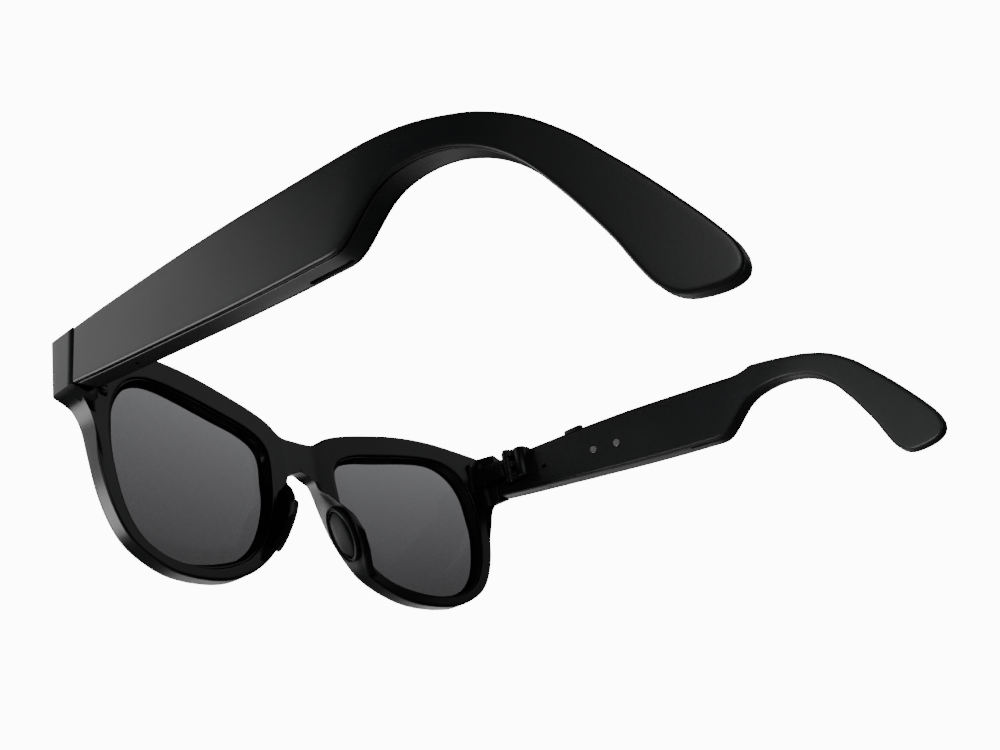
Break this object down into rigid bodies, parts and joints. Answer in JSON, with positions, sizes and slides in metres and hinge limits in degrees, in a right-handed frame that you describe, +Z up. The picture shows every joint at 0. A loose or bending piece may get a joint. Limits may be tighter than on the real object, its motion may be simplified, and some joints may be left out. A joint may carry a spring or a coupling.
{
  "type": "smart glasses",
  "caption": "Sunglasses with thick folding temples that carry speakers, microphones, a push button and charging contacts.",
  "frame": {"origin": "on the table under the middle of the object, standing with its temples open", "axes": "+Z up, +X to the wearer's left, +Y back along the temples; the lenses look along -Y"},
  "size_m": [0.145, 0.1476, 0.0523],
  "materials": {
    "frame_plastic": "satin black, moulded",
    "cover_plastic": "satin black, moulded",
    "housing_plastic": "matt black, moulded",
    "tinted_lens": "neutral grey tint, polished",
    "pad_rubber": "soft matt",
    "hinge_steel": "blackened steel",
    "battery_foil": "foil pouch",
    "board": "solder mask",
    "speaker_case": "moulded",
    "mesh_fabric": "fine woven",
    "mic_can": "pressed can",
    "contact_metal": "plated",
    "button_plastic": "satin",
    "switch_metal": "pressed"
  },
  "bodies": {
    "front": {"front_frame": "frame_plastic", "lens_left": "tinted_lens", "lens_right": "tinted_lens", "nose_pad_left": "pad_rubber", "nose_pad_right": "pad_rubber", "front_hinge_left": "hinge_steel", "front_hinge_right": "hinge_steel", "hinge_screws_left": "hinge_steel", "hinge_screws_right": "hinge_steel", "hinge_pin_left": "hinge_steel", "hinge_pin_right": "hinge_steel"},
    "left_temple": {"temple_hinge_left": "hinge_steel", "temple_housing_left": "housing_plastic", "temple_cover_left": "cover_plastic", "battery_left": "battery_foil", "circuit_board_left": "board", "speaker_left": "speaker_case", "speaker_mesh_left": "mesh_fabric", "microphone_left": "mic_can"},
    "right_temple": {"temple_hinge_right": "hinge_steel", "temple_housing_right": "housing_plastic", "temple_cover_right": "cover_plastic", "battery_right": "battery_foil", "circuit_board_right": "board", "speaker_right": "speaker_case", "speaker_mesh_right": "mesh_fabric", "microphone_right": "mic_can", "charging_contacts": "contact_metal", "button_switch": "switch_metal"},
    "button": {"function_button": "button_plastic"}
  },
  "joints": [
    {"name": "left_fold", "type": "hinge", "parent": "front", "child": "left_temple", "pos_m": [0.0647, -0.04807, 0.041], "axis": [0, 0, 1], "range_deg": [0, 84]},
    {"name": "right_fold", "type": "hinge", "parent": "front", "child": "right_temple", "pos_m": [-0.0647, -0.04807, 0.041], "axis": [0, 0, -1], "range_deg": [0, 62]},
    {"name": "button_press", "type": "slide", "parent": "right_temple", "child": "button", "axis": [0, 0, -1], "range_m": [0, 0.00035], "stiffness_N_per_m": 600, "springref_m": -0.0005}
  ]
}
